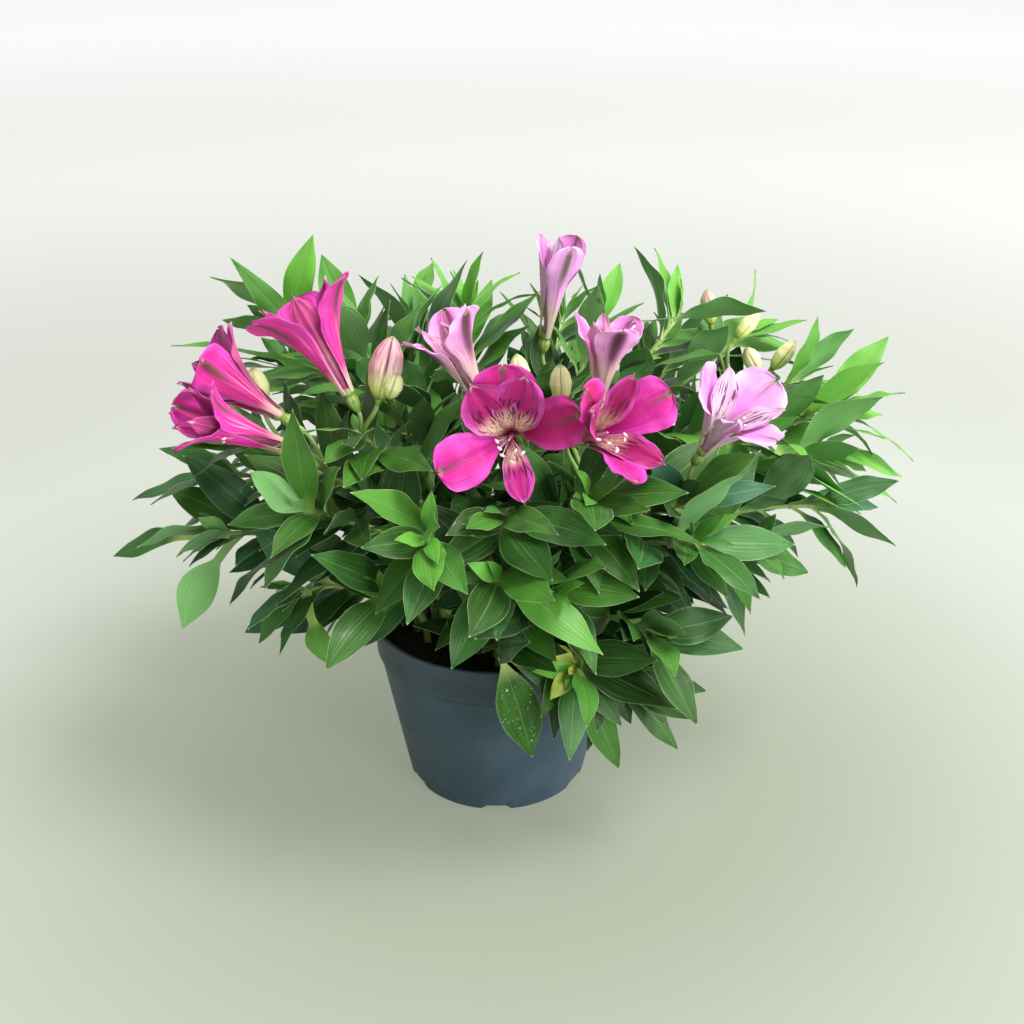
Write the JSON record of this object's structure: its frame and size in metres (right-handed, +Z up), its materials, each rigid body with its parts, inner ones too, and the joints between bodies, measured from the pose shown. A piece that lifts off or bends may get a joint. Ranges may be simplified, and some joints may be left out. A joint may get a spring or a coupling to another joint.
{
  "type": "potted peruvian lily",
  "caption": "Bushy alstroemeria in bloom with lance-shaped leaves and streaked trumpet flowers, growing in a round tapered plastic nursery pot.",
  "frame": {"origin": "on the pot's axis, at the level that the pot stands on, at the middle of the small pad under its floor", "axes": "+Z up along the pot's axis, -Y towards the front as the picture shows it, +X to the right"},
  "size_m": [0.3913, 0.3078, 0.2862],
  "materials": {
    "pot_plastic": "satin",
    "peat": "matte",
    "leaf": "satin",
    "fresh_leaf": "satin",
    "magenta_petal": "satin",
    "pink_petal": "satin",
    "bud": "satin"
  },
  "bodies": {
    "root": {"pot": "pot_plastic", "soil": "peat", "flower_stem_left": "leaf", "flower_stem_mid_left": "leaf", "flower_stem_centre_left": "leaf", "flower_stem_centre": "leaf", "flower_stem_back": "leaf", "flower_stem_mid_right": "leaf", "flower_stem_right": "leaf", "flower_stem_buds": "leaf", "shoot_front_high": "leaf", "shoot_front_mid": "leaf", "shoot_front_mid_right": "leaf", "shoot_front_low": "leaf", "shoot_front_low_right": "leaf", "shoot_front_low_far_right": "leaf", "shoot_front_right_low": "leaf", "shoot_front_left": "leaf", "shoot_front_left_low": "leaf", "shoot_left_front": "leaf", "shoot_right_front": "leaf", "shoot_right_mid": "leaf", "shoot_far_left_low": "leaf", "shoot_left": "leaf", "shoot_bottom_left": "leaf", "shoot_left_up": "leaf", "shoot_top_left": "fresh_leaf", "shoot_top_left_inner": "leaf", "shoot_top_mid_left": "leaf", "shoot_top_mid": "leaf", "shoot_top_mid_right": "fresh_leaf", "shoot_top_right": "leaf", "shoot_top_far_right": "leaf", "shoot_right_up": "leaf", "shoot_right_up_outer": "fresh_leaf", "shoot_right": "fresh_leaf", "shoot_right_low": "leaf", "shoot_right_low_inner": "leaf", "shoots_back_left": "leaf", "shoots_back_mid_left": "leaf", "shoots_back_mid_right": "leaf", "shoots_back_right": "leaf", "bloom_left_upper": "magenta_petal", "bloom_left_lower": "magenta_petal", "bloom_mid_left": "magenta_petal", "bloom_centre_left": "pink_petal", "bloom_centre": "magenta_petal", "bloom_back": "pink_petal", "bloom_mid_right_upper": "pink_petal", "bloom_mid_right": "magenta_petal", "bloom_right": "pink_petal", "bud_opening": "pink_petal", "bud_left": "bud", "bud_centre": "bud", "bud_mid_right": "bud", "bud_right_high": "bud", "bud_right_mid": "bud", "bud_right_near": "bud", "bud_right_low": "bud"}
  },
  "joints": []
}
